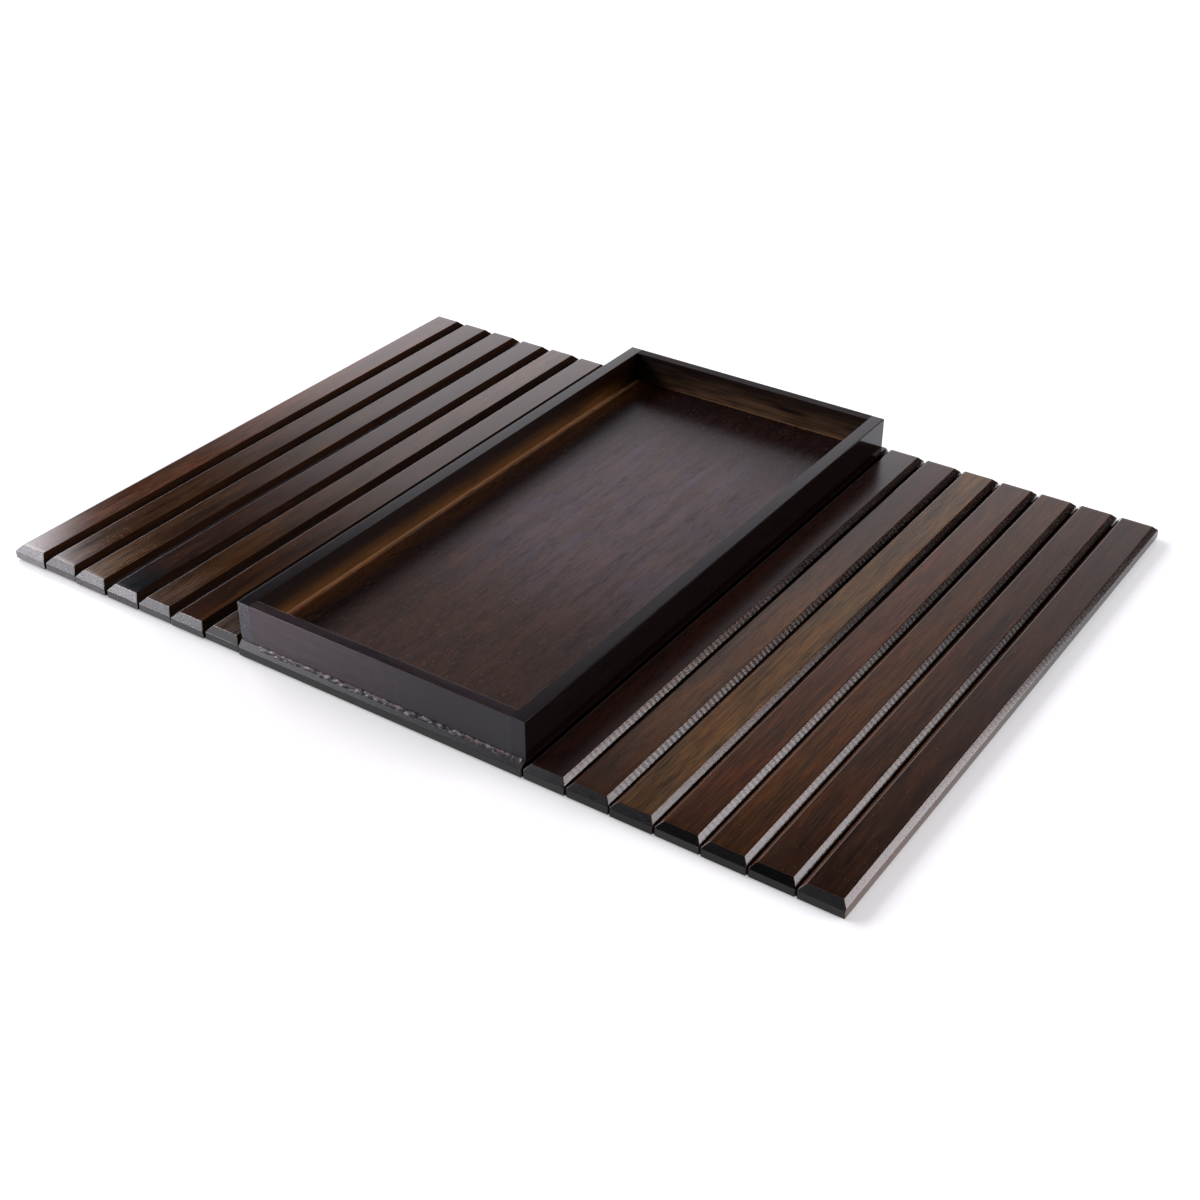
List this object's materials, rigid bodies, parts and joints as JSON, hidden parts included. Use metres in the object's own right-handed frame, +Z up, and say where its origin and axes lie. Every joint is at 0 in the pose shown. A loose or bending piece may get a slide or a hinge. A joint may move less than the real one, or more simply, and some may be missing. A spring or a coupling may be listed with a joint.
{
  "type": "sofa armrest tray",
  "caption": "Shallow wooden tray on a base board with a cloth-hinged wing of chamfered slats on each side, to drape over a sofa's armrest.",
  "frame": {"origin": "centre of the underside, on the surface that the object lies on", "axes": "+X across the wings to the right, +Y along the slats to the back, +Z up"},
  "size_m": [0.493, 0.358, 0.0299],
  "materials": {
    "tray_wood": "dark stain under satin lacquer",
    "floor_wood": "dark stain under satin lacquer, grain along Y",
    "base_wood": "dark stain under satin lacquer, glossy glue along the tray's front seam",
    "slat_wood": "dark stain under satin lacquer, each slat its own tone, grain along Y",
    "backing_cloth": "matt woven backing cloth"
  },
  "bodies": {
    "tray_and_base": {"base_board": "base_wood", "backing_centre": "backing_cloth", "tray_floor": "floor_wood", "tray_wall_front": "tray_wood", "tray_wall_back": "tray_wood", "tray_wall_left": "tray_wood", "tray_wall_right": "tray_wood"},
    "left_1": {"slat_left_1": "slat_wood", "backing_left_1": "backing_cloth"},
    "left_2": {"slat_left_2": "slat_wood", "backing_left_2": "backing_cloth"},
    "left_3": {"slat_left_3": "slat_wood", "backing_left_3": "backing_cloth"},
    "left_4": {"slat_left_4": "slat_wood", "backing_left_4": "backing_cloth"},
    "left_5": {"slat_left_5": "slat_wood", "backing_left_5": "backing_cloth"},
    "left_6": {"slat_left_6": "slat_wood", "backing_left_6": "backing_cloth"},
    "left_7": {"slat_left_7": "slat_wood", "backing_left_7": "backing_cloth"},
    "right_1": {"slat_right_1": "slat_wood", "backing_right_1": "backing_cloth"},
    "right_2": {"slat_right_2": "slat_wood", "backing_right_2": "backing_cloth"},
    "right_3": {"slat_right_3": "slat_wood", "backing_right_3": "backing_cloth"},
    "right_4": {"slat_right_4": "slat_wood", "backing_right_4": "backing_cloth"},
    "right_5": {"slat_right_5": "slat_wood", "backing_right_5": "backing_cloth"},
    "right_6": {"slat_right_6": "slat_wood", "backing_right_6": "backing_cloth"},
    "right_7": {"slat_right_7": "slat_wood", "backing_right_7": "backing_cloth"}
  },
  "joints": [
    {"name": "hinge_left_1", "type": "hinge", "parent": "tray_and_base", "child": "left_1", "pos_m": [-0.086, 0, 0], "axis": [0, -1, 0], "range_deg": [-8, 40]},
    {"name": "hinge_left_2", "type": "hinge", "parent": "left_1", "child": "left_2", "pos_m": [-0.109, 0, 0], "axis": [0, -1, 0], "range_deg": [-8, 40]},
    {"name": "hinge_left_3", "type": "hinge", "parent": "left_2", "child": "left_3", "pos_m": [-0.132, 0, 0], "axis": [0, -1, 0], "range_deg": [-8, 40]},
    {"name": "hinge_left_4", "type": "hinge", "parent": "left_3", "child": "left_4", "pos_m": [-0.155, 0, 0], "axis": [0, -1, 0], "range_deg": [-8, 40]},
    {"name": "hinge_left_5", "type": "hinge", "parent": "left_4", "child": "left_5", "pos_m": [-0.178, 0, 0], "axis": [0, -1, 0], "range_deg": [-8, 40]},
    {"name": "hinge_left_6", "type": "hinge", "parent": "left_5", "child": "left_6", "pos_m": [-0.201, 0, 0], "axis": [0, -1, 0], "range_deg": [-8, 40]},
    {"name": "hinge_left_7", "type": "hinge", "parent": "left_6", "child": "left_7", "pos_m": [-0.224, 0, 0], "axis": [0, -1, 0], "range_deg": [-8, 40]},
    {"name": "hinge_right_1", "type": "hinge", "parent": "tray_and_base", "child": "right_1", "pos_m": [0.086, 0, 0], "axis": [0, 1, 0], "range_deg": [-8, 40]},
    {"name": "hinge_right_2", "type": "hinge", "parent": "right_1", "child": "right_2", "pos_m": [0.109, 0, 0], "axis": [0, 1, 0], "range_deg": [-8, 40]},
    {"name": "hinge_right_3", "type": "hinge", "parent": "right_2", "child": "right_3", "pos_m": [0.132, 0, 0], "axis": [0, 1, 0], "range_deg": [-8, 40]},
    {"name": "hinge_right_4", "type": "hinge", "parent": "right_3", "child": "right_4", "pos_m": [0.155, 0, 0], "axis": [0, 1, 0], "range_deg": [-8, 40]},
    {"name": "hinge_right_5", "type": "hinge", "parent": "right_4", "child": "right_5", "pos_m": [0.178, 0, 0], "axis": [0, 1, 0], "range_deg": [-8, 40]},
    {"name": "hinge_right_6", "type": "hinge", "parent": "right_5", "child": "right_6", "pos_m": [0.201, 0, 0], "axis": [0, 1, 0], "range_deg": [-8, 40]},
    {"name": "hinge_right_7", "type": "hinge", "parent": "right_6", "child": "right_7", "pos_m": [0.224, 0, 0], "axis": [0, 1, 0], "range_deg": [-8, 40]}
  ]
}
